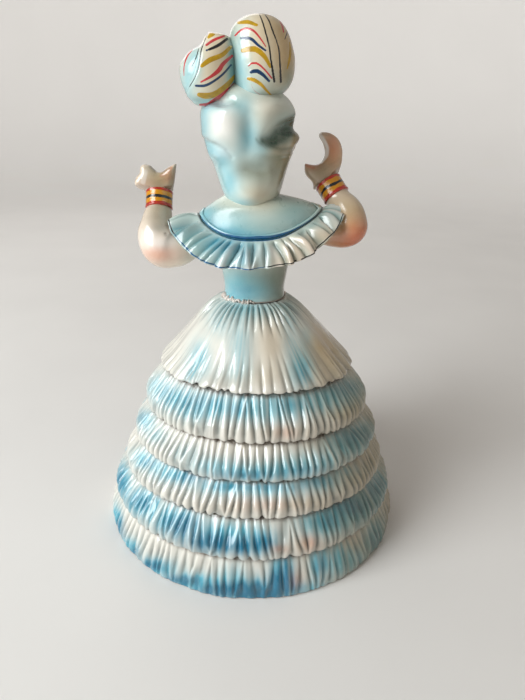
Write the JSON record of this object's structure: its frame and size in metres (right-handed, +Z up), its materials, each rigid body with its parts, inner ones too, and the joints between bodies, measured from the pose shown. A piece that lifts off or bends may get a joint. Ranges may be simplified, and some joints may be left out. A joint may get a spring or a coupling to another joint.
{
  "type": "terracotta doll",
  "caption": "Glazed terracotta doll with a wide pleated tiered skirt, ruffled collar, headscarf with turban knots and raised bent arms.",
  "frame": {"origin": "centre of the skirt's foot, on the table", "axes": "+Z up, the doll faces -Y with its back to +Y, the doll's own left side is +X"},
  "size_m": [0.2016, 0.2016, 0.3068],
  "materials": {
    "clay_body": "matt fired terracotta",
    "cream_glaze": "glossy cream glaze with sprayed blue",
    "blue_glaze": "glossy pale blue glaze",
    "deep_blue_glaze": "glossy deep blue glaze",
    "skin_glaze": "glossy skin-coloured glaze",
    "ochre_glaze": "glossy ochre glaze with red and black lines",
    "white_slip": "chipped white slip"
  },
  "bodies": {
    "root": {"skirt_core": "clay_body", "flounce_1": "cream_glaze", "flounce_2": "blue_glaze", "flounce_3": "cream_glaze", "flounce_4": "blue_glaze", "flounce_5": "cream_glaze", "flounce_6": "blue_glaze", "waist_bead": "white_slip", "bodice": "blue_glaze", "bust": "skin_glaze", "ruffle_collar": "blue_glaze", "neckline_welt": "deep_blue_glaze", "head": "skin_glaze", "headscarf": "blue_glaze", "left_turban_knot": "cream_glaze", "right_turban_knot": "cream_glaze", "left_arm": "skin_glaze", "right_arm": "skin_glaze", "left_cuff": "ochre_glaze", "right_cuff": "ochre_glaze", "left_hand": "skin_glaze", "right_hand": "skin_glaze"}
  },
  "joints": []
}
